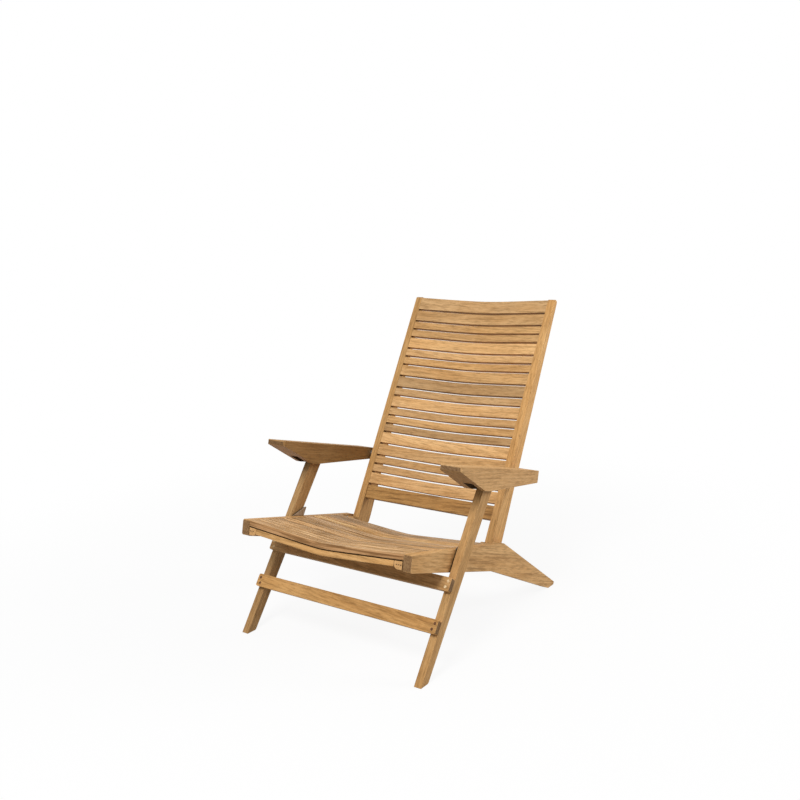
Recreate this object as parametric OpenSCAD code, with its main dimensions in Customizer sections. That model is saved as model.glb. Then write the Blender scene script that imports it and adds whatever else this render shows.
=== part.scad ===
// Folding slatted lounge armchair in teak, standing open on the floor.
// X across the chair, Y from front to back, Z up, millimetres.
// Side shapes are drawn in the Y-Z plane from the top front corner of the seat rails.

/* [Seat side rails] */
// Height of the rails' top front corner
seat_front_h = 342; // [320:1:370]
// Slope of the seat, down towards the back, in degrees
seat_tilt = 13.2; // [11:0.1:15]
// Length of the straight top edge, from the front to the bend
rail_top_l = 464; // [455:1:480]
// Depth of the rail at its front end
rail_front_d = 44; // [38:1:48]
// Depth of the rail under its bend
rail_bend_d = 76; // [68:1:84]
// Distance of the bend in the underside from the front
rail_bend_s = 415; // [400:1:430]
// Slope of the rail's rear leg top edge, in degrees
rail_leg_tilt = 35; // [32:0.5:38]
// Height of the blunt tip of the rear leg
toe_h = 7.5; // [4:0.5:12]
// Length of the flat under the rear leg
rail_foot_l = 36; // [28:1:44]
// Thickness of the rail
seat_rail_t = 24; // [18:1:30]
// Distance between the rails' inner faces
seat_inner_w = 522; // [460:1:580]

/* [Slats] */
// Width of a wide slat
slat_wide = 33.9; // [30:0.1:36]
// Width of a narrow slat
slat_narrow = 22.4; // [19:0.1:25]
// Gap between slats
slat_gap = 5.9; // [4:0.1:9]
// Thickness of a seat slat
seat_slat_t = 16; // [12:1:19]
// Dip of the seat slats in the middle
seat_dip = 17.5; // [0:0.5:26]
// Width of the back's top slat
slat_top_w = 40; // [34:0.5:44]
// Thickness of a back slat
back_slat_t = 15; // [10:0.5:18]
// Dip of the back slats in the middle
back_dip = 19.5; // [0:0.5:28]
// Distance of the top back slat from the top of the rails
back_slat_top = 4; // [2:0.5:12]

/* [Seat battens and front rail] */
// Width of the battens that carry the seat slats
batten_w = 25; // [20:0.5:36]
// Depth of the battens under the slats
batten_d = 25; // [20:1:34]
// Shadow gap between a batten and its seat rail
batten_gap = 3; // [1:0.1:5]
// Depth of the curved rail under the front slat
front_rail_d = 15; // [10:1:22]
// Thickness of the curved rail under the front slat
front_rail_t = 20; // [14:1:26]
// Shadow gap between the curved rail and the front slat
front_rail_gap = 3; // [0.5:0.1:5]
// How deep the shadow gap runs in under the front slat
front_rail_rebate = 7; // [3:0.5:10]

/* [Back] */
// Lean of the back's front face from the vertical, in degrees
back_lean = 30.4; // [28:0.1:33]
// Length of the back rails above the lower pivot
back_l = 777; // [740:1:810]
// Depth of the back rails at the top
back_top_d = 17; // [14:0.5:20]
// Depth of the back rails below the taper
back_rail_d = 59; // [50:1:64]
// Length of the taper from the top
back_taper_l = 740; // [600:5:760]
// Thickness of the back rails
back_rail_t = 22; // [18:1:26]
// Gap between back rails and seat rails
back_side_gap = 10; // [6:0.5:14]
// How far the lower pivot lies in front of the back's front face
back_pin_out = 15; // [14:0.5:17]
// Radius of the rails' toe round the lower pivot
back_toe_r = 13; // [11:0.5:14]
// Height of the bottom rail
bottom_rail_h = 42; // [30:1:50]
// Thickness of the bottom rail
bottom_rail_t = 20; // [14:1:24]
// Gap between the last slat and the bottom rail
bottom_rail_gap = 7; // [4:0.5:16]

/* [Front legs] */
// Thickness of a leg
leg_t = 21.5; // [18:0.5:28]
// Lean of the legs' front face from the vertical, in degrees
leg_lean = 35.5; // [34.5:0.1:36.5]
// Taper between the front and the rear face, in degrees
leg_taper = 1.7; // [1:0.1:2.4]
// Depth of the leg at the pivot on the seat rail
leg_d = 36; // [33:0.5:40]
// Gap between a leg and its seat rail, filled by a washer
leg_side_gap = 3.5; // [1:0.5:5]
// Distance of the seat pivot behind the leg's front face
leg_pin_in = 17.3; // [16:0.1:19]
// Length of the leg past the arm pivot
leg_over = 12; // [9:0.5:13]
// Rounding of the leg's top corners
leg_top_r = 10; // [6:0.5:11]

/* [Stretchers] */
// Distance of the lower stretcher from the foot, along the leg
lower_stretcher_l = 137.5; // [100:0.5:150]
// Distance of the upper stretcher from the foot, along the leg
upper_stretcher_l = 250; // [220:0.5:252]
// Height of a stretcher
stretcher_h = 36.5; // [28:0.5:37]
// Thickness of a stretcher
stretcher_t = 17; // [12:0.5:18]
// Rounding of a stretcher's end corners
stretcher_r = 5; // [2:0.5:12]
// Distance of a wood plug from the stretcher's middle line
plug_off = 8; // [6:0.5:12]
// How far the upper plug lies further out than the middle of the leg, and the lower one further in
plug_skew = 2; // [0:0.5:4]
// Radius of a wood plug
plug_r = 4; // [2:0.25:4.5]

/* [Arms] */
// Tilt of the arms, down towards the back, in degrees
arm_tilt = 14.4; // [13.5:0.1:15.5]
// Width of an arm
arm_w = 65; // [60:1:72]
// Gap between an arm and its back rail
arm_side_gap = 12; // [8:0.5:14]
// Distance of the leg pivot from the arm's nose
arm_pin_s = 193.5; // [185:0.5:200]
// Depth of the leg pivot under the arm's top
arm_pin_d = 46.3; // [45.5:0.1:47.5]
// Thickness of the arm's nose
arm_nose_d = 13.6; // [10:0.2:18]
// Greatest depth of the arm
arm_deep_d = 60; // [59:0.5:64]
// Distance of the deepest stretch from the nose
arm_deep_s = 135; // [125:1:145]
// Length of the deepest stretch
arm_deep_l = 32; // [20:1:40]
// Depth of the arm's rear end
arm_rear_d = 34.5; // [33:0.5:38]
// Length of the arm behind the rear pivot
arm_rear_l = 16; // [13:0.5:20]
// Thickness of the arm above the slot for the leg
arm_roof = 14.5; // [10:0.5:15]
// Distance of the slot's front end from the nose
arm_slot_s = 88; // [75:1:130]
// Gap between the leg and the sides of the slot
arm_slot_gap = 3.5; // [0.5:0.5:5]
// Rounding of the arm's corners seen from above
arm_corner_r = 7; // [2:0.5:14]

/* [Folding linkage] */
// Distance of the back's pivot from the front of the seat rails
back_pin_s = 434; // [432:0.5:437]
// Depth of the back's pivot under the seat rail's top
back_pin_d = 16; // [15:0.5:17]
// Distance of the leg's pivot from the front of the seat rails
leg_pin_s = 205; // [200:0.5:210]
// Depth of the leg's pivot under the seat rail's top
leg_pin_d = 39; // [37:0.5:41]
// Distance between the two pivots of a leg, and of a back rail
link_l = 233; // [228:0.5:238]
// Lean of both links from the vertical, in degrees
link_lean = 38.6; // [37.6:0.1:39.4]
// Angle that the back and the legs fold through
fold_max = 98; // [60:1:99]
// Radius of the pivot pins
pin_r = 4; // [3:0.25:5]
// Radius of the spacers round the pins
spacer_r = 11; // [8:0.5:13]
// Radial clearance of a pin in its bore
pin_fit = 0.05; // [0.02:0.01:0.1]
// Radial clearance of the rear arm pins
loose_fit = 0.3; // [0.1:0.05:0.5]

/* [Stop wedges] */
// Length of a wedge along the seat rail, from its thin end to its crest
wedge_l = 51; // [40:1:56]
// Length of a wedge's flat crest
wedge_crest_l = 6.5; // [2:0.5:8]
// How far a wedge's rear edge leans back
wedge_lean = 9; // [0:0.5:12]
// Height of a wedge at its rear
wedge_h = 26; // [16:1:28]
// Thickness of a wedge
wedge_t = 4; // [3:0.5:16]
// Distance of a wedge's thin end from the front of the rail
wedge_s = 201; // [190:1:206]

/* [Hidden] */
$fn = 48;
// Clearance at the ends of the arm's slot
slot_end_fit = 2;
// Clearance between a piece and what it rests on
seat_fit = 0.3;
// Wood left over the blind end of a pin
pin_cover = 5;
// How sharp the dip of a slat is: small is a vee, large a parabola
seat_dip_k = 0.08;
back_dip_k = 0.3;
// Order of the top, wide and narrow slats, from the front and from the top
seat_order = "WWNNWNNWWNWN";
back_order = "TWNNWNNWWNWNNNWWNNW";
dip_steps = 16;
arc_steps = 6;

teak = "peru";
teak_dark = "sienna";
steel = "silver";

seat_half = seat_inner_w / 2;
seat_outer = seat_half + seat_rail_t;
back_outer = seat_half - back_side_gap;
back_inner = back_outer - back_rail_t;
leg_inner = seat_outer + leg_side_gap;
leg_outer = leg_inner + leg_t;
arm_inner = back_outer + arm_side_gap;
arm_outer = arm_inner + arm_w;
batten_outer = seat_half - batten_gap;
batten_inner = batten_outer - batten_w;

// Axes of the tilted parts in the side view, each [y, z]
seat_e = [cos(seat_tilt), -sin(seat_tilt)];
seat_n = [sin(seat_tilt), cos(seat_tilt)];
back_u = [sin(back_lean), cos(back_lean)];
back_w = [-cos(back_lean), sin(back_lean)];
leg_u = [sin(leg_lean), cos(leg_lean)];
leg_w = [-cos(leg_lean), sin(leg_lean)];
arm_e = [cos(arm_tilt), -sin(arm_tilt)];
arm_n = [sin(arm_tilt), cos(arm_tilt)];

rail_front = [0, seat_front_h];
function on_seat(s, n) = rail_front + s * seat_e + n * seat_n;

// The four pivots make a parallelogram
link = link_l * [sin(link_lean), cos(link_lean)];
back_pin = on_seat(back_pin_s, -back_pin_d);
leg_pin = on_seat(leg_pin_s, -leg_pin_d);
arm_pin = leg_pin + link;
rear_pin = back_pin + link;

function on_back(u, w) = back_pin + u * back_u + (w - back_pin_out) * back_w;
function on_leg(u, w) = leg_pin + u * leg_u + (w + leg_pin_in) * leg_w;
arm_nose = arm_pin - arm_pin_s * arm_e + arm_pin_d * arm_n;
function on_arm(s, n) = arm_nose + s * arm_e + n * arm_n;

leg_foot_u = -(leg_pin[1] + leg_pin_in * leg_w[1]) / leg_u[1];
leg_foot = on_leg(leg_foot_u, 0);

// Polygon points from corners written [point, radius], with each corner rounded
function unit(v) = v / norm(v);
function corner(p, a, b, r) =
    let (
        ua = unit(a - p),
        ub = unit(b - p),
        ang = acos(ua * ub),
        centre = p + unit(ua + ub) * r / sin(ang / 2),
        start = p + ua * r / tan(ang / 2) - centre,
        from = atan2(start[1], start[0]),
        turn = (ua[0] * ub[1] - ua[1] * ub[0] < 0 ? 1 : -1) * (180 - ang)
    )
    [
        for (i = [0:arc_steps])
            let (ang_i = from + turn * i / arc_steps)
            centre + r * [cos(ang_i), sin(ang_i)]
    ];
function rounded(c) = [
    for (i = [0:len(c) - 1])
        each c[i][1] == 0 ? [c[i][0]]
            : corner(c[i][0], c[(i + len(c) - 1) % len(c)][0], c[(i + 1) % len(c)][0], c[i][1])
];

// A board cut to an outline in the side view, between two distances from the middle
module side_board(pts, x_in, x_out) {
    translate([x_in, -depth_mid, 0])
        rotate([90, 0, 90])
            linear_extrude(x_out - x_in)
                polygon(pts);
}

// A rod across the chair at a point in the side view
module rod(at, r, x_in, x_out) {
    translate([x_in, at[0] - depth_mid, at[1]])
        rotate([0, 90, 0])
            cylinder(r = r, h = x_out - x_in);
}

// The same piece on the chair's other side
module on_left() {
    mirror([1, 0, 0]) children();
}

module on_both() {
    children();
    on_left() children();
}

// Flat shapes drawn across the chair and carried to a place in the side view:
// drawn x stays x, drawn y runs along n, and the thickness runs along e
module across(at, tilt) {
    translate([0, at[0] - depth_mid, at[1]])
        rotate([tilt + 90, 0, 0])
            children();
}

// Dip of a slat at a distance from the middle
function dip(x, half, depth, k) =
    depth * (1 - (sqrt(pow(x / half, 2) + k * k) - k) / (sqrt(1 + k * k) - k));
function dip_line(half, reach, depth, k, drop) = [
    for (i = [0:dip_steps])
        let (x = reach * (2 * i / dip_steps - 1))
        [x, -drop - dip(x, half, depth, k)]
];
function reversed(v) = [for (i = [len(v) - 1:-1:0]) v[i]];
function dished(half, reach, depth, k, top, thick) =
    concat(dip_line(half, reach, depth, k, top + thick), reversed(dip_line(half, reach, depth, k, top)));

// Widths of the slats, and where each one starts
function slat_w(order, i) = order[i] == "T" ? slat_top_w : order[i] == "W" ? slat_wide : slat_narrow;
function slat_start(order, i) = i == 0 ? 0 : slat_start(order, i - 1) + slat_w(order, i - 1) + slat_gap;
seat_end = slat_start(seat_order, len(seat_order)) - slat_gap;
back_end = back_slat_top + slat_start(back_order, len(back_order)) - slat_gap;

// Seat side rail with its rear leg
rail_bend = on_seat(rail_top_l, 0);
toe_l = (rail_bend[1] - toe_h) / sin(rail_leg_tilt);
toe = rail_bend + toe_l * [cos(rail_leg_tilt), -sin(rail_leg_tilt)];
toe_floor = [toe[0] - toe_h * tan(rail_leg_tilt), 0];
rail_outline = rounded([
    [on_seat(0, 0), 5],
    [on_seat(0, -rail_front_d), 7],
    [on_seat(rail_bend_s, -rail_bend_d), 60],
    [toe_floor - [rail_foot_l, 0], 8],
    [toe_floor, toe_h * 0.5],
    [toe, toe_h * 0.6],
    [rail_bend, 12]
]);

module seat_rail() {
    color(teak)
        difference() {
            side_board(rail_outline, seat_half, seat_outer);
            rod(back_pin, pin_r + pin_fit, seat_half - 1, seat_outer - pin_cover + seat_fit);
            rod(leg_pin, pin_r + pin_fit, seat_half + pin_cover - seat_fit, seat_outer + 1);
        }
}

module seat_rail_right() {
    seat_rail();
}

module seat_rail_left() {
    on_left() seat_rail();
}

// Batten inside a seat rail, with its top cut to the underside of the slats.
// The shadow gap of the front rail runs on over its front end
batten_low = seat_slat_t + seat_fit + batten_d;
function under_slat(x, gap) = [x, -seat_slat_t - gap - dip(x, seat_half, seat_dip, seat_dip_k)];
module batten_strip(s_in, gap) {
    across(on_seat(seat_end, 0), -seat_tilt)
        linear_extrude(seat_end - s_in)
            polygon(rounded([
                [under_slat(batten_inner, gap), 0],
                [[batten_inner, -batten_low], 12],
                [[batten_outer, -batten_low], 0],
                [under_slat(batten_outer, gap), 0],
                [under_slat(batten_outer - batten_w / 2, gap), 0]
            ]));
}

module seat_batten() {
    color(teak)
        union() {
            batten_strip(0, front_rail_gap);
            batten_strip(front_rail_rebate, seat_fit);
        }
}

module seat_batten_right() {
    seat_batten();
}

module seat_batten_left() {
    on_left() seat_batten();
}

// Strip of the front rail between two distances from the front, with a gap under the slat
module front_strip(s_in, s_out, gap) {
    across(on_seat(s_out, 0), -seat_tilt)
        linear_extrude(s_out - s_in)
            polygon(dished(seat_half, batten_inner - seat_fit, seat_dip, seat_dip_k,
                seat_slat_t + gap, front_rail_d + front_rail_gap - gap));
}

module seat_front_rail() {
    color(teak_dark)
        union() {
            front_strip(0, front_rail_t, front_rail_gap);
            front_strip(front_rail_rebate, front_rail_t, seat_fit);
        }
}

module seat_slat(i) {
    w = slat_w(seat_order, i);
    color(teak)
        across(on_seat(slat_start(seat_order, i) + w, 0), -seat_tilt)
            linear_extrude(w)
                polygon(dished(seat_half, seat_half, seat_dip, seat_dip_k, 0, seat_slat_t));
}

// Wedge on the seat rail beside the leg
module stop_wedge() {
    color(teak_dark)
        side_board([
            on_seat(wedge_s, 0),
            on_seat(wedge_s + wedge_l + wedge_crest_l - wedge_lean, 0),
            on_seat(wedge_s + wedge_l + wedge_crest_l, wedge_h),
            on_seat(wedge_s + wedge_l, wedge_h)
        ], seat_outer - wedge_t, seat_outer);
}

module stop_wedge_right() {
    stop_wedge();
}

module stop_wedge_left() {
    on_left() stop_wedge();
}

// Back rail, hooked forward at its foot so that the back can fold down onto the seat
function toe_arc(i) = on_back(0, back_pin_out) + back_toe_r * (cos(i) * back_w + sin(i) * back_u);
taper_u = back_l - back_taper_l;
back_top_r = 6;
back_outline = concat(
    rounded([
        [on_back(back_toe_r, back_pin_out), 0],
        [on_back(back_toe_r, 0), 0],
        [on_back(back_l, 0), back_top_r],
        [on_back(back_l, -back_top_d), back_top_r],
        [on_back(taper_u, -back_rail_d), 0],
        [on_back(back_toe_r, -back_rail_d), 12],
        [on_back(-back_toe_r, -back_pin_out), 8],
        [on_back(-back_toe_r, back_pin_out), 0]
    ]),
    [for (i = [-75:15:75]) toe_arc(i)]
);

module back_rail() {
    color(teak)
        difference() {
            side_board(back_outline, back_inner, back_outer);
            rod(back_pin, pin_r + pin_fit, back_inner + pin_cover - seat_fit, back_outer + 1);
            rod(rear_pin, pin_r + pin_fit, back_inner + pin_cover - seat_fit, back_outer + 1);
        }
}

module back_rail_right() {
    back_rail();
}

module back_rail_left() {
    on_left() back_rail();
}

module back_slat(i) {
    w = slat_w(back_order, i);
    high = back_l - back_slat_top - slat_start(back_order, i);
    color(teak)
        across(on_back(high, 0), 90 - back_lean)
            linear_extrude(w)
                polygon(dished(back_inner, back_inner, back_dip, back_dip_k, 0, back_slat_t));
}

bottom_rail_top = back_l - back_end - bottom_rail_gap;
module back_bottom_rail() {
    inset = 2;
    color(teak_dark)
        side_board([
            on_back(bottom_rail_top, -inset),
            on_back(bottom_rail_top, -inset - bottom_rail_t),
            on_back(bottom_rail_top - bottom_rail_h, -inset - bottom_rail_t),
            on_back(bottom_rail_top - bottom_rail_h, -inset)
        ], -back_inner, back_inner);
}

// Front leg: tapered board with a level foot and a rounded top inside the arm
function leg_depth(u) = leg_d + u * tan(leg_taper);
leg_top_u = (arm_pin - leg_pin) * leg_u + leg_over;
leg_rear_dir = [sin(leg_lean + leg_taper), cos(leg_lean + leg_taper)];
leg_rear_at_pin = on_leg(0, -leg_d);
leg_heel = leg_rear_at_pin - leg_rear_dir * leg_rear_at_pin[1] / leg_rear_dir[1];
leg_outline = rounded([
    [leg_foot, 0],
    [leg_heel, 8],
    [on_leg(leg_top_u, -leg_depth(leg_top_u)), leg_top_r],
    [on_leg(leg_top_u, 0), leg_top_r]
]);

// Middle of the chair's depth, which becomes Y zero
function depths(v) = [for (p = v) p[0]];
top_slat_rear = on_back(back_l - back_slat_top, -back_dip - back_slat_t);
depth_mid = (
    min(depths(concat(leg_outline, rail_outline)))
    + max(depths(concat(rail_outline, back_outline, [top_slat_rear])))
) / 2;

module leg() {
    color(teak)
        difference() {
            side_board(leg_outline, leg_inner, leg_outer);
            rod(leg_pin, pin_r + pin_fit, leg_inner - 1, leg_outer - pin_cover + seat_fit);
            rod(arm_pin, pin_r + pin_fit, leg_inner - 1, leg_outer + 1);
        }
}

module leg_right() {
    leg();
}

module leg_left() {
    on_left() leg();
}

// Flat stretcher across the legs' front faces, with sockets for its wood plugs
plug_x = (leg_inner + leg_outer) / 2;
plug_d = 6;
module on_leg_face(l) {
    at = on_leg(leg_foot_u + l, 0);
    translate([0, at[0] - depth_mid, at[1]])
        rotate([90 - leg_lean, 0, 0])
            children();
}

module plug_places() {
    for (side = [-1, 1], v = [-1, 1])
        translate([side * (plug_x + v * plug_skew), stretcher_h / 2 + v * plug_off, stretcher_t - plug_d])
            children();
}

module stretcher(l) {
    color(teak)
        on_leg_face(l)
            difference() {
                linear_extrude(stretcher_t)
                    polygon(rounded([
                        [[-leg_outer, 0], stretcher_r],
                        [[leg_outer, 0], stretcher_r],
                        [[leg_outer, stretcher_h], stretcher_r],
                        [[-leg_outer, stretcher_h], stretcher_r]
                    ]));
                plug_places() cylinder(r = plug_r, h = plug_d + 1);
            }
}

module leg_stretcher_lower() {
    stretcher(lower_stretcher_l);
}

module leg_stretcher_upper() {
    stretcher(upper_stretcher_l);
}

module stretcher_plugs() {
    color(teak_dark)
        for (l = [lower_stretcher_l, upper_stretcher_l])
            on_leg_face(l) plug_places() cylinder(r = plug_r, h = plug_d);
}

// Arm: deep over the leg, thin at the nose, with a slot that takes the folding leg
arm_len = (rear_pin - arm_nose) * arm_e + arm_rear_l;
arm_outline = rounded([
    [on_arm(0, 0), 5],
    [on_arm(1.5, -arm_nose_d), 5],
    [on_arm(arm_deep_s, -arm_deep_d), 15],
    [on_arm(arm_deep_s + arm_deep_l, -arm_deep_d), 25],
    [on_arm(arm_len - 3, -arm_rear_d), 4],
    [on_arm(arm_len, 0), 3]
]);

// How far the folded leg needs the slot: from its angle to the arm and its depth at the pivot
fold_gap_angle = 90 + leg_lean - fold_max - arm_tilt;
leg_front_at_arm = leg_pin_in - link * leg_w;
arm_under_slope = (arm_deep_d - arm_rear_d) / (arm_len - 3 - arm_deep_s - arm_deep_l);
arm_under_pin = arm_deep_d - arm_pin_d - arm_under_slope * (arm_pin_s - arm_deep_s - arm_deep_l);
slot_back = (leg_front_at_arm / cos(fold_gap_angle) + arm_under_pin)
    / (tan(fold_gap_angle) + arm_under_slope) + slot_end_fit;

module arm() {
    color(teak)
        difference() {
            intersection() {
                side_board(arm_outline, arm_inner, arm_outer);
                translate([0, arm_nose[0] - depth_mid, arm_nose[1]])
                    rotate([-arm_tilt, 0, 0])
                        translate([0, 0, -arm_deep_d - 1])
                            linear_extrude(arm_deep_d + 2)
                                polygon(rounded([
                                    [[arm_inner, 0], arm_corner_r],
                                    [[arm_outer, 0], arm_corner_r],
                                    [[arm_outer, arm_len], arm_corner_r],
                                    [[arm_inner, arm_len], arm_corner_r]
                                ]));
            }
            side_board([
                on_arm(arm_slot_s, -arm_roof),
                on_arm(arm_slot_s, -arm_deep_d - 2),
                on_arm(arm_pin_s + slot_back, -arm_deep_d - 2),
                on_arm(arm_pin_s + slot_back, -arm_roof)
            ], leg_inner - arm_slot_gap, leg_outer + arm_slot_gap);
            rod(arm_pin, pin_r + pin_fit,
                arm_inner + pin_cover - seat_fit, arm_outer - pin_cover + seat_fit);
            rod(rear_pin, pin_r + loose_fit, arm_inner - 1, arm_outer - arm_w / 2 + seat_fit);
        }
}

module arm_right() {
    arm();
}

module arm_left() {
    on_left() arm();
}

// Pins fixed in the seat rails: the legs and the back turn on them
module seat_pins() {
    color(steel)
        on_both() {
            rod(leg_pin, pin_r, seat_half + pin_cover, leg_outer - pin_cover);
            rod(back_pin, pin_r, back_inner + pin_cover, seat_outer - pin_cover);
        }
}

// Pins through the tops of the legs: the arms turn on them
module leg_pins() {
    color(steel)
        on_both() rod(arm_pin, pin_r, arm_inner + pin_cover, arm_outer - pin_cover);
}

// Pins in the back rails: they carry the rear ends of the arms
module back_pins() {
    color(steel)
        on_both() rod(rear_pin, pin_r, back_inner + pin_cover, arm_outer - arm_w / 2);
}

module spacer(at, x_in, x_out) {
    difference() {
        rod(at, spacer_r, x_in + seat_fit, x_out - seat_fit);
        rod(at, pin_r + pin_fit, x_in, x_out);
    }
}

// Washers and spacers that keep the frames apart at the pivots
module seat_spacers() {
    color(steel)
        on_both() {
            spacer(leg_pin, seat_outer, leg_inner);
            spacer(back_pin, back_outer, seat_half);
        }
}

module back_spacers() {
    color(steel)
        on_both() spacer(rear_pin, back_outer, arm_inner);
}

seat_rail_right();
seat_rail_left();
seat_batten_right();
seat_batten_left();
seat_front_rail();
seat_slat(0);  // seat_slat_01
seat_slat(1);  // seat_slat_02
seat_slat(2);  // seat_slat_03
seat_slat(3);  // seat_slat_04
seat_slat(4);  // seat_slat_05
seat_slat(5);  // seat_slat_06
seat_slat(6);  // seat_slat_07
seat_slat(7);  // seat_slat_08
seat_slat(8);  // seat_slat_09
seat_slat(9);  // seat_slat_10
seat_slat(10);  // seat_slat_11
seat_slat(11);  // seat_slat_12
stop_wedge_right();
stop_wedge_left();
seat_pins();
seat_spacers();
back_rail_right();
back_rail_left();
back_bottom_rail();
back_slat(0);  // back_slat_01
back_slat(1);  // back_slat_02
back_slat(2);  // back_slat_03
back_slat(3);  // back_slat_04
back_slat(4);  // back_slat_05
back_slat(5);  // back_slat_06
back_slat(6);  // back_slat_07
back_slat(7);  // back_slat_08
back_slat(8);  // back_slat_09
back_slat(9);  // back_slat_10
back_slat(10);  // back_slat_11
back_slat(11);  // back_slat_12
back_slat(12);  // back_slat_13
back_slat(13);  // back_slat_14
back_slat(14);  // back_slat_15
back_slat(15);  // back_slat_16
back_slat(16);  // back_slat_17
back_slat(17);  // back_slat_18
back_slat(18);  // back_slat_19
back_pins();
back_spacers();
leg_right();
leg_left();
leg_stretcher_lower();
leg_stretcher_upper();
stretcher_plugs();
leg_pins();
arm_right();
arm_left();
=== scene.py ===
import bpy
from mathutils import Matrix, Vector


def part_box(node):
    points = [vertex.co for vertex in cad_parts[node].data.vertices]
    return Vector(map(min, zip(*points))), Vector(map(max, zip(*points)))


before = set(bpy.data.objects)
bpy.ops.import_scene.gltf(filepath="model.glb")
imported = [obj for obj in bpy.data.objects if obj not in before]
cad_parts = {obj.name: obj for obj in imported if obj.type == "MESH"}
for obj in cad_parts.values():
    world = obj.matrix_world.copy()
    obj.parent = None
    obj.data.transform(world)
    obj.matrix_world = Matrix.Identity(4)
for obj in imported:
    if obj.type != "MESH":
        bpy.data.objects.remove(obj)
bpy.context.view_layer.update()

import math
import random
from types import SimpleNamespace

import bpy
from mathutils import Euler, Vector


# Places and directions on the chair as it stands open, in metres and degrees

def slope_down(degrees):
    """Direction of a board that falls towards the back of the chair."""
    return Vector((0, math.cos(math.radians(degrees)), -math.sin(math.radians(degrees))))


def lean_back(degrees):
    """Direction of an upright board that leans towards the back of the chair."""
    return Vector((0, math.sin(math.radians(degrees)), math.cos(math.radians(degrees))))


def reach(node, way):
    """How far a solid of the frame reaches in a direction."""
    return max(vertex.co.dot(way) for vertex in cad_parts[node].data.vertices)


# Slopes of the boards in the side view
SEAT_TILT = 13.2
RAIL_TILT = 19.2        # Grain of the seat rails, between the seat and the rear feet
BACK_LEAN = 30.4
LEG_LEAN = 35.5
ARM_TILT = 14.4
NOSE_SLOPE = 19.15      # Underside of an arm's nose, from the arm
WEDGE_SLOPE = 13.8      # Upper face of a wedge, falling towards the front

SIDE_TO_SIDE = Vector((1, 0, 0))
UPRIGHT = Vector((0, 0, 1))
SEAT_RUN = slope_down(SEAT_TILT)
SEAT_UP = lean_back(SEAT_TILT)
BACK_FRONT = slope_down(BACK_LEAN) * -1
ARM_RUN = slope_down(ARM_TILT)
ARM_UP = lean_back(ARM_TILT)
NOSE_UNDER = lean_back(ARM_TILT + NOSE_SLOPE) * -1
WEDGE_TOP = lean_back(-WEDGE_SLOPE)

# Dip of the slats: its direction, half width, depth and sharpness
SEAT_DIP = (SEAT_UP, reach("seat_slat_01", SIDE_TO_SIDE), 0.0175, 0.08)
BACK_DIP = (BACK_FRONT, reach("back_slat_01", SIDE_TO_SIDE), 0.0195, 0.3)

# Dark dots on a batten's front end
DOTS_IN = (0.016, 0.010, 0.004)     # From the batten's outer side
DOTS_DOWN = 0.029                   # From the top of the seat

# The slot under an arm, which takes the folding leg
SLOT_START = 0.0874                 # From the arm's front end
SLOT_STOP = 0.3224
SLOT_ROOF = 0.0147                  # Wood above the slot
SLOT_ROOM = 0.0035                  # Room on each side of the leg

# Radius of the eased corners
BOARD_EDGE = 0.0016
BACK_SLAT_EDGE = 0.0009
SEAT_RAIL_EDGE = 0.003
LEG_EDGE = 0.0026
PLUG_EDGE = 0.0004
PIN_EDGE = 0.0006
SHARP_ANGLE = 32        # Edges that turn by less, in degrees, aren't eased
SAME_PLACE = 0.00001    # Corners nearer than this are one

SEAT_SLATS = 12
BACK_SLATS = 19
PALE_SLATS = (5, 6, 11, 15, 19)     # Back slats of paler and of browner wood, counted from the top; 19 is paler as painted light against the arms' shade
BROWN_SLATS = (9, 14)
FRONT_SLATS = 5                     # Seat slats in front, with less painted shade between them


# Colours, as they look on a screen, from 0 to 255

TEAK_PALE = (222, 182, 132)
TEAK_GOLD = (196, 152, 100)
TEAK_AMBER = (203, 155, 98)
TEAK_BROWN = (148, 111, 67)
TEAK_STREAK = (96, 64, 36)
TEAK_END = (149, 118, 84)
# Dark of the dots on the battens' ends, and of painted shade in gaps, corners and the arms' slots
TEAK_SHADE_AND_DOTS = (52, 30, 14)
TEAK_WORN = (226, 192, 148)
PLUG_DARK = (118, 78, 48)
PLUG_DARKEST = (84, 50, 30)
PLUG_PALE = (248, 224, 180)
PLUG_TAN = (206, 168, 118)
STEEL_BRIGHT = (196, 197, 198)
STEEL_DULL = (150, 148, 144)


def linear(red, green, blue):
    """A screen colour as the renderer wants it."""
    def channel(value):
        value = min(255, max(0, value)) / 255
        return value / 12.92 if value <= 0.04045 else ((value + 0.055) / 1.055) ** 2.4
    return (channel(red), channel(green), channel(blue), 1.0)


def shade(colour, tone, warmth=0.0):
    """A colour made lighter or darker by tone, and redder or greyer by warmth."""
    red, green, blue = colour
    return linear(red * tone * (1 + 0.4 * warmth), green * tone, blue * tone * (1 - warmth))


# Shader maths

class Wire:
    """A value socket that can be used in sums."""

    def __init__(self, shader, socket):
        self.shader = shader
        self.socket = socket

    def maths(self, operation, *others):
        return self.shader.add("ShaderNodeMath", {"operation": operation},
                               dict(enumerate((self,) + others)))

    def __add__(self, other):
        return self.maths("ADD", other)

    __radd__ = __add__

    def __mul__(self, other):
        return self.maths("MULTIPLY", other)

    __rmul__ = __mul__

    def __sub__(self, other):
        return self.maths("SUBTRACT", other)

    def __rsub__(self, other):
        return (self * -1).maths("ADD", other)

    def __truediv__(self, other):
        return self.maths("DIVIDE", other)

    def __pow__(self, other):
        return self.maths("POWER", other)

    def least(self, other):
        return self.maths("MINIMUM", other)

    def most(self, other):
        return self.maths("MAXIMUM", other)

    def size(self):
        return self.maths("ABSOLUTE")

    def between(self, low, high):
        """0 below low, 1 above high, and smooth between them."""
        return self.shader.add("ShaderNodeMapRange", {"interpolation_type": "SMOOTHSTEP"},
                               {"Value": self, "From Min": low, "From Max": high})


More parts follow.
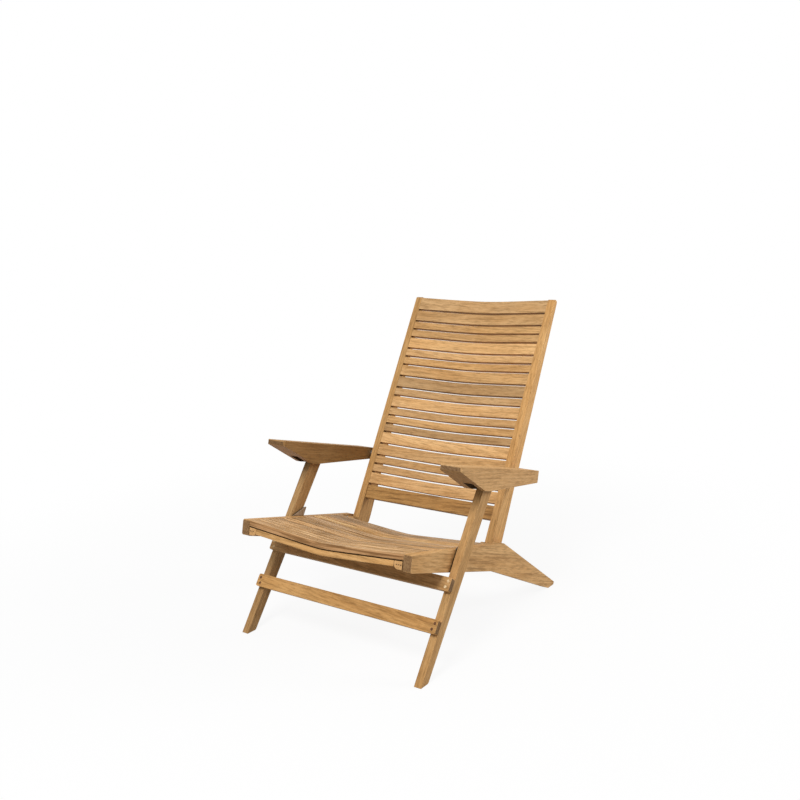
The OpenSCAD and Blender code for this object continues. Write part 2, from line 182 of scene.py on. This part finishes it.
class Shader:
    """The node tree of a material or of the world."""

    def __init__(self, owner):
        owner.use_nodes = True
        self.owner = owner
        self.nodes = owner.node_tree.nodes
        self.links = owner.node_tree.links
        self.surface = self.nodes.get("Principled BSDF") or self.nodes["Background"]

    def add(self, kind, settings=None, sockets=None, out=0):
        node = self.nodes.new(kind)
        for key, value in (settings or {}).items():
            setattr(node, key, value)
        for key, value in (sockets or {}).items():
            self.feed(node.inputs[key], value)
        return Wire(self, node.outputs[out])

    def feed(self, socket, value):
        if isinstance(value, Wire):
            self.links.new(value.socket, socket)
        else:
            socket.default_value = value

    def set(self, **sockets):
        for key, value in sockets.items():
            self.feed(self.surface.inputs[key.replace("_", " ")], value)

    def mix(self, factor, a, b, blend="MIX"):
        # Sockets 6 and 7 of a Mix node are its two colours, and 2 is its colour result
        return self.add("ShaderNodeMix", {"data_type": "RGBA", "blend_type": blend},
                        {0: factor, 6: a, 7: b}, out=2)

    def vector(self, operation, *values, out="Vector"):
        return self.add("ShaderNodeVectorMath", {"operation": operation}, dict(enumerate(values)), out)

    def dot(self, a, b):
        return self.vector("DOT_PRODUCT", a, b, out="Value")

    def length(self, a):
        return self.vector("LENGTH", a, out="Value")

    def noise(self, place, scale, detail=2.0, rough=0.5):
        return self.add("ShaderNodeTexNoise", {}, {"Vector": place, "Scale": scale, "Detail": detail,
                                                   "Roughness": rough})

    def bump(self, strength, distance, height):
        return self.add("ShaderNodeBump", {}, {"Strength": strength, "Distance": distance,
                                               "Height": height})

    def where(self):
        """Place on the chair as it stands open."""
        return self.add("ShaderNodeTexCoord", out="Object")


# Teak

# Marks in the wood: how many times longer than wide they are, how many there are to a metre, how many
# layers of smaller marks they hold, and how strong these are. The pores' length comes with the board,
# and the spots in the end grain have none.
WANDER = (9, 14, 2, 0.5)
BOW = (4, 3, 1, 0.5)
BROAD = (14, 38, 3, 0.55)
STREAK = (24, 170, 4, 0.62)
PORES = (270, 4, 0.7)
FINE = (18, 2100, 2, 0.5)
PATCH = (3.5, 9, 2, 0.5)
AMBER = (2.5, 16, 2, 0.5)
END_SPOTS = (180, 4, 0.75)


class Grain:
    """Where a point lies in a board: along the grain, across it and deep in it."""

    def __init__(self, tree, along, draw, slant, dip):
        self.tree = tree
        self.where = tree.where()
        self.along = Vector(along).normalized()
        across = self.along.cross(UPRIGHT if abs(self.along.x) > 0.5 else SIDE_TO_SIDE).normalized()
        inward = self.along.cross(across)
        self.run = tree.dot(self.where, self.along)
        lean = math.tan(math.radians(draw.uniform(-slant, slant)))
        self.wide = tree.dot(self.where, across) + self.run * lean
        self.deep = tree.dot(self.where, inward) + self.run * lean
        if dip:
            up, half, depth, sharp = dip
            curve = (self.run * self.run / half ** 2 + sharp ** 2) ** 0.5
            rise = (curve - sharp) / (math.hypot(1, sharp) - sharp)
            sunk = (1 - rise) * depth
            self.wide += sunk * across.dot(up)
            self.deep += sunk * inward.dot(up)
        self.offset = [draw.uniform(-9, 9) for _ in range(3)]

    def noise(self, length, scale, detail, rough):
        """Marks that are longer than wide by length."""
        place = self.tree.add("ShaderNodeCombineXYZ", {}, {0: self.run / length + self.offset[0],
                                                           1: self.wide + self.offset[1],
                                                           2: self.deep + self.offset[2]})
        return self.tree.noise(place, scale, detail, rough)


def growth_ring(grain, draw):
    """0 to 1 over each ring round a pith that lies off the board and bends a little along the run."""
    wander = grain.noise(*WANDER)
    bow = grain.noise(*BOW)
    x = grain.wide + draw.uniform(0.03, 0.09) * draw.choice((-1, 1)) + (bow - 0.5) * 0.06
    y = grain.deep + draw.uniform(0.02, 0.08) * draw.choice((-1, 1)) + grain.run * draw.uniform(-0.08, 0.08)
    radius = (x * x + y * y) ** 0.5 + (wander - 0.5) * 0.014
    return (radius * draw.uniform(800, 1200)).maths("SINE") * 0.5 + 0.5


def wood_marks(grain, ring, pore_run):
    """The marks that the colour, the gloss and the relief share."""
    return SimpleNamespace(rings=ring ** 2.5, broad=grain.noise(*BROAD), streak=grain.noise(*STREAK),
                           pores=grain.noise(pore_run, *PORES), fine=grain.noise(*FINE),
                           patch=grain.noise(*PATCH), amber=grain.noise(*AMBER))


def planed_wood(tree, marks, tone, warmth, streaks):
    """Colour of the long faces, laid from the pale ground to the darkest lines."""
    pale, gold, amber, brown, dark = (shade(colour, tone, warmth) for colour in
                                      (TEAK_PALE, TEAK_GOLD, TEAK_AMBER, TEAK_BROWN, TEAK_STREAK))
    late_wood = (marks.broad.between(0.36, 0.66) * 0.6 + marks.rings * 0.35
                 + marks.patch.between(0.4, 0.7) * 0.3)
    brown_lines = marks.streak.between(0.42, 0.72) * streaks * 0.85
    brown_bands = marks.broad.between(0.52, 0.75) * marks.streak.between(0.4, 0.7) * streaks * 0.6
    dark_lines = marks.streak.between(0.58, 0.80) * (marks.rings * 0.6 + 0.4) * streaks * 0.7
    colour = tree.mix(late_wood.least(1), pale, gold)
    colour = tree.mix(marks.amber.between(0.42, 0.66) * 0.4, colour, amber)
    colour = tree.mix(brown_lines.least(1), colour, brown)
    colour = tree.mix(brown_bands.least(1), colour, brown)
    colour = tree.mix(dark_lines.least(1), colour, dark)
    colour = tree.mix(marks.pores.between(0.48, 0.68) * 0.65, colour, brown)
    colour = tree.mix((1 - marks.pores.between(0.32, 0.47)) * 0.6, colour, pale)
    return tree.mix(marks.fine.between(0.56, 0.72) * 0.25, colour, dark)


def end_grain(tree, where, ring, tone, warmth):
    """Colour of the sawn ends."""
    spots = tree.noise(where, *END_SPOTS)
    return tree.mix(ring * 0.25 + spots.between(0.40, 0.60) * 0.7 - 0.2,
                    shade(TEAK_END, tone, warmth), shade(TEAK_STREAK, tone, warmth))


def in_dot(tree, grain, place):
    """1 in a dot, about 3 mm wide, round a place on the board's end."""
    apart = tree.vector("SUBTRACT", grain.where, place)
    off_centre = tree.length(tree.vector("CROSS_PRODUCT", apart, grain.along))
    return 1 - off_centre.between(0.0010, 0.0022)


def in_slot(tree, where):
    """1 in the slot of an arm, with a soft border of a millimetre; the slot's inside is painted dark there
    as shade.
    """
    soft = 0.001
    inner, outer = (corner.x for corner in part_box("leg_right"))
    near = inner - SLOT_ROOM
    far = outer + SLOT_ROOM
    forth = tree.dot(where, ARM_RUN) + reach("arm_right", ARM_RUN * -1)
    down = tree.dot(where, ARM_UP) * -1 + reach("arm_right", ARM_UP)
    out = tree.dot(where, SIDE_TO_SIDE).size()
    return (forth.between(SLOT_START - soft, SLOT_START) * (1 - forth.between(SLOT_STOP, SLOT_STOP + soft))
            * down.between(SLOT_ROOF - soft, SLOT_ROOF)
            * out.between(near - soft, near) * (1 - out.between(far, far + soft)))


def rubbed_corners(tree, patch):
    """0 on the faces and up to 1 on the corners, where hands and cloth rub."""
    soft = tree.add("ShaderNodeBevel", {"samples": 4}, {"Radius": 0.0022})
    hard = tree.add("ShaderNodeNewGeometry", out="Normal")
    edge = 1 - tree.dot(soft, hard)
    return edge.between(0.01, 0.12) * (0.3 + 0.7 * patch.between(0.3, 0.7))


def painted_crevice_shade(tree, distance):
    """1 where other pieces lie nearer than a distance: a mask of painted shade for the gaps and corners
    between pieces.
    """
    open_air = tree.add("ShaderNodeAmbientOcclusion", {"samples": 6}, {"Distance": distance}, out="AO")
    return 1 - open_air.between(0.15, 0.75)


def teak(name, along, seed, tone, warmth, streaks=0.5, end_tone=1.0, end_share=1.0, slant=1.5,
         hollow=0.007, dip=None, faces=(), dots=(), slotted=False, worn=0.3, pore_run=8):
    """Oiled teak sawn along a direction, with a grain of its own for each seed.

    tone makes the wood lighter or darker, warmth redder or greyer, and streaks is how strong its lines
    are. end_tone is how light the sawn ends are, and end_share how far they take the colour of end
    grain. slant is how far the grain may lean, and hollow how near other pieces lie where painted shade
    darkens the wood. faces are pairs of a direction and a tint of painted shade, for the faces that look
    that way. dots are places of dark dots on the ends, and slotted is true for an arm, whose slot is
    painted dark as shade. worn is how pale the corners are, and pore_run how many times longer than
    wide the pores are.
    """
    draw = random.Random(seed)
    tree = Shader(bpy.data.materials.new(name))
    grain = Grain(tree, along, draw, slant, dip)
    ring = growth_ring(grain, draw)
    marks = wood_marks(grain, ring, pore_run)
    colour = planed_wood(tree, marks, tone, warmth, streaks)

    normal = tree.add("ShaderNodeTexCoord", out="Normal")
    # Painted shade: a tint darkens the faces that look one way, such as undersides and sides out of the
    # light.
    for way, shade_tint in faces:
        colour = tree.mix(tree.dot(normal, way).between(0.7, 0.9), colour, (*shade_tint, 1), "MULTIPLY")
    sawn = tree.dot(normal, grain.along).size().between(0.72, 0.92)
    end = sawn * end_share
    colour = tree.mix(end, colour, end_grain(tree, grain.where, ring, tone * end_tone, warmth))
    for place in dots:
        colour = tree.mix(in_dot(tree, grain, place) * sawn, colour, linear(*TEAK_SHADE_AND_DOTS))
    # The inside of an arm's slot is painted dark as shade.
    if slotted:
        colour = tree.mix(in_slot(tree, grain.where) * 0.9, colour, linear(*TEAK_SHADE_AND_DOTS))
    rubbed = rubbed_corners(tree, marks.patch)
    colour = tree.mix(rubbed * worn, colour, shade(TEAK_WORN, tone, warmth))
    # Painted shade, darker where other pieces lie near, in gaps and corners.
    colour = tree.mix(painted_crevice_shade(tree, hollow) * 0.8, colour, linear(*TEAK_SHADE_AND_DOTS))

    relief = marks.pores * 0.5 + marks.streak * 0.4 + marks.rings * 0.25
    tree.set(Base_Color=colour, Roughness=0.55 + marks.streak * 0.15 + end * 0.12 - rubbed * 0.08,
             Normal=tree.bump(0.35, 0.0006, relief), IOR=1.45, Specular_IOR_Level=0.32)
    return tree


# Plugs and pins

def plug_ends(name):
    """End grain of the plugs, dark on the lower stretcher and pale on the upper one."""
    tree = Shader(bpy.data.materials.new(name))
    upper = tree.dot(tree.where(), UPRIGHT).between(reach("leg_stretcher_lower", UPRIGHT),
                                                    -reach("leg_stretcher_upper", UPRIGHT * -1))
    spots = tree.noise(tree.where(), 1100)
    blotch = tree.noise(tree.where(), 240).between(0.35, 0.65)
    dark = tree.mix(blotch, linear(*PLUG_DARK), linear(*PLUG_DARKEST))
    pale = tree.mix(blotch, linear(*PLUG_PALE), linear(*PLUG_TAN))
    colour = tree.mix(upper, dark, pale)
    colour = tree.mix(spots.between(0.5, 0.75) * 0.5, colour, linear(*TEAK_STREAK))
    tree.set(Base_Color=colour, Roughness=0.6 + spots * 0.15, Normal=tree.bump(0.3, 0.0004, spots),
             IOR=1.45, Specular_IOR_Level=0.3)
    return tree


def pin_steel(name):
    """Turned stainless steel, with fine rings of tool marks."""
    tree = Shader(bpy.data.materials.new(name))
    lines = tree.noise(tree.vector("MULTIPLY", tree.where(), (2600.0, 60.0, 60.0)), 1)
    smudge = tree.noise(tree.where(), 160, 3)
    colour = tree.mix(smudge.between(0.35, 0.75), linear(*STEEL_BRIGHT), linear(*STEEL_DULL))
    tree.set(Base_Color=colour, Metallic=1, Roughness=0.26 + smudge * 0.2,
             Normal=tree.bump(0.2, 0.0002, lines))
    return tree


# The chair

def dress(node, shader, edge=BOARD_EDGE, segments=3):
    """Gives a solid of the frame its finish and eased corners."""
    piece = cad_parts[node]
    for slot in piece.material_slots:
        slot.material = shader.owner
    weld = piece.modifiers.new("join faces", "WELD")
    weld.merge_threshold = SAME_PLACE
    ease = piece.modifiers.new("eased corners", "BEVEL")
    ease.width = edge
    ease.segments = segments
    ease.limit_method = "ANGLE"
    ease.angle_limit = math.radians(SHARP_ANGLE)
    ease.use_clamp_overlap = True
    ease.harden_normals = True


def board(node, along, seed, tone, warmth, edge=BOARD_EDGE, **settings):
    """Dresses a wooden node in teak of its own."""
    dress(node, teak("teak " + node, along, seed, tone, warmth, **settings), edge)


def seat_slats(draw):
    """The seat's slats, greyer and more streaked than the back's, with painted shade on their front faces.
    """
    for i in range(1, SEAT_SLATS + 1):
        board(f"seat_slat_{i:02d}", SIDE_TO_SIDE, 100 + i, draw.uniform(1.00, 1.21),
              draw.uniform(-0.12, 0.02), streaks=2.7, hollow=0.01 if i <= FRONT_SLATS else 0.02,
              dip=SEAT_DIP, pore_run=25, faces=[(SEAT_RUN * -1, (0.74, 0.64, 0.56))])


def back_slats(draw):
    """The back's slats, some of paler or browner wood."""
    for i in range(1, BACK_SLATS + 1):
        tone = 1.09 if i in PALE_SLATS else 0.94 if i in BROWN_SLATS else 1.01
        board(f"back_slat_{i:02d}", SIDE_TO_SIDE, 200 + i, tone + draw.uniform(-0.015, 0.015),
              draw.uniform(0.0, 0.08), BACK_SLAT_EDGE, streaks=0.6, slant=3, dip=BACK_DIP)


def cross_rails():
    """The plain boards that run from side to side."""
    for node, seed, tone, warmth, streaks in (
            ("seat_front_rail", 301, 1.03, 0.08, 0.8),
            ("back_bottom_rail", 302, 0.83, 0.17, 1.2),
            ("leg_stretcher_lower", 303, 0.95, 0.13, 0.8),
            ("leg_stretcher_upper", 304, 0.94, 0.06, 0.8)):
        board(node, SIDE_TO_SIDE, seed, tone, warmth, streaks=streaks, end_tone=0.92, slant=3)


def seat_rails():
    """The side rails of the seat, each in one board with its rear leg."""
    for side, seed in (("right", 401), ("left", 402)):
        board("seat_rail_" + side, slope_down(RAIL_TILT), seed, 0.995, 0.06, SEAT_RAIL_EDGE, streaks=0.9)


def seat_battens():
    """The battens inside the rails, with three dark dots on each front end."""
    for side, outward, seed in (("right", SIDE_TO_SIDE, 403), ("left", SIDE_TO_SIDE * -1, 404)):
        node = "seat_batten_" + side
        height = SEAT_UP * (reach("seat_slat_01", SEAT_UP) - DOTS_DOWN)
        dots = [height + outward * (reach(node, outward) - inset) for inset in DOTS_IN]
        board(node, SEAT_RUN, seed, 1.05, 0.06, end_tone=1.35, end_share=0.35, dots=dots)


def back_rails():
    """The side rails of the back, the left one darker and with painted shade on its inner side."""
    board("back_rail_right", lean_back(BACK_LEAN), 405, 1.00, 0.11)
    board("back_rail_left", lean_back(BACK_LEAN), 406, 0.92, 0.12,
          faces=[(SIDE_TO_SIDE, (0.78, 0.76, 0.76))])


def front_legs():
    """The front legs, the left one a little darker as painted shade, since less light falls on it."""
    board("leg_right", lean_back(LEG_LEAN), 407, 0.905, 0.10, LEG_EDGE)
    board("leg_left", lean_back(LEG_LEAN), 408, 0.84, 0.08, LEG_EDGE)


def arms():
    """The arms, each with a slot under it whose inside is painted dark as shade and with painted shade
    under its nose, the left one also on its inner side.
    """
    board("arm_right", ARM_RUN, 409, 1.01, 0.03, end_tone=0.95, hollow=0.012, slotted=True, worn=0.2,
          faces=[(NOSE_UNDER, (0.64, 0.62, 0.58))])
    board("arm_left", ARM_RUN, 410, 0.86, 0.10, end_tone=0.98, hollow=0.012, slotted=True, worn=0.0,
          faces=[(NOSE_UNDER, (0.90, 0.84, 0.74)), (SIDE_TO_SIDE, (0.64, 0.62, 0.57))])


def stop_wedges():
    """The wedges on the seat rails, with painted shade on their top faces."""
    for side, seed in (("right", 411), ("left", 412)):
        board("stop_wedge_" + side, UPRIGHT, seed, 0.88, -0.20, faces=[(WEDGE_TOP, (0.32, 0.25, 0.20))])


def plugs_and_pins():
    """The small pieces that aren't boards."""
    dress("stretcher_plugs", plug_ends("teak plugs"), PLUG_EDGE)
    steel = pin_steel("pin steel")
    for node in ("seat_pins", "leg_pins", "back_pins", "seat_spacers", "back_spacers"):
        dress(node, steel, PIN_EDGE, segments=2)


# Studio

BOUNCE = 0.45               # How much light the floor gives back to the chair
ROOM = 0.40                 # Light from all round
SHADOW = 0.10               # How much of the chair's shadow the floor shows
SHADOW_FADE = (0.6, 2.2)    # Where the shadow starts to fade, and where it is gone
FLOOR_SIZE = 40
FLOOR_DROP = 0.0005         # How far the floor lies under the feet
LAMPS_LOOK_AT = Vector((0, 0, 0.4))

CAMERA_PLACE = (1.4611, -2.0847, 1.0964)
CAMERA_TURN = (75.186, 1.652, 35.480)       # In degrees
LENS_MM = 40.375
SENSOR_MM = 36.0
LENS_SHIFT = (0.0004, 0.0872)


def background_seen(tree):
    """1 for what the lens sees directly, in a gloss or through glass."""
    path = tree.nodes.new("ShaderNodeLightPath")
    rays = [Wire(tree, path.outputs[f"Is {kind} Ray"]) for kind in ("Camera", "Glossy", "Transmission")]
    return rays[0].most(rays[1]).most(rays[2])


def plain_floor():
    """A pale floor that is white to the camera, with the chair's soft shadow on it."""
    bpy.ops.mesh.primitive_grid_add(x_subdivisions=2, y_subdivisions=2, size=FLOOR_SIZE,
                                    location=(0, 0, -FLOOR_DROP))
    floor = bpy.context.object
    floor.name = "studio_floor"
    tree = Shader(bpy.data.materials.new("studio white"))
    seen = background_seen(tree)
    tree.set(Base_Color=tree.mix(seen, (BOUNCE, BOUNCE, BOUNCE, 1), (0.9, 0.9, 0.9, 1)), Roughness=0.9,
             Specular_IOR_Level=0)
    white = tree.add("ShaderNodeEmission", {}, {"Color": (1, 1, 1, 1), "Strength": 1.0})
    clear = seen * (1 - SHADOW * (1 - tree.length(tree.where()).between(*SHADOW_FADE)))
    mixed = tree.add("ShaderNodeMixShader", {}, {0: clear})
    mixer = mixed.socket.node
    tree.links.new(tree.surface.outputs[0], mixer.inputs[1])
    tree.links.new(white.socket, mixer.inputs[2])
    tree.links.new(mixed.socket, tree.nodes["Material Output"].inputs[0])
    floor.data.materials.append(tree.owner)


def white_room():
    """Even light from all round, pure white behind the chair."""
    world = bpy.data.worlds.new("studio")
    bpy.context.scene.world = world
    tree = Shader(world)
    tree.set(Color=(1, 1, 1, 1), Strength=ROOM + background_seen(tree) * (1 - ROOM))


def soft_lamp(name, place, size, power):
    """A round lamp of a size in metres and a power in watts, turned to the chair."""
    lamp = bpy.data.lights.new(name, "AREA")
    lamp.shape = "DISK"
    lamp.size = size
    lamp.energy = power
    holder = bpy.data.objects.new(name, lamp)
    holder.location = place
    holder.rotation_euler = (LAMPS_LOOK_AT - Vector(place)).to_track_quat("-Z", "Y").to_euler()
    bpy.context.collection.objects.link(holder)


def photo_camera():
    """The camera, in front of the chair and to the right of its middle."""
    lens = bpy.data.cameras.new("camera")
    lens.lens = LENS_MM
    lens.sensor_width = SENSOR_MM
    lens.shift_x, lens.shift_y = LENS_SHIFT
    camera = bpy.data.objects.new("camera", lens)
    camera.location = CAMERA_PLACE
    camera.rotation_euler = Euler([math.radians(angle) for angle in CAMERA_TURN], "XYZ")
    bpy.context.collection.objects.link(camera)
    bpy.context.scene.camera = camera


slat_draw = random.Random(11)
seat_slats(slat_draw)
back_slats(slat_draw)
cross_rails()
seat_rails()
seat_battens()
back_rails()
front_legs()
arms()
stop_wedges()
plugs_and_pins()

plain_floor()
white_room()
soft_lamp("front", (0.5, -2.6, 3.2), 1.5, 90)
soft_lamp("rear right", (2.7, 2.0, 1.6), 1.4, 55)
photo_camera()
bpy.context.scene.view_settings.view_transform = "Standard"
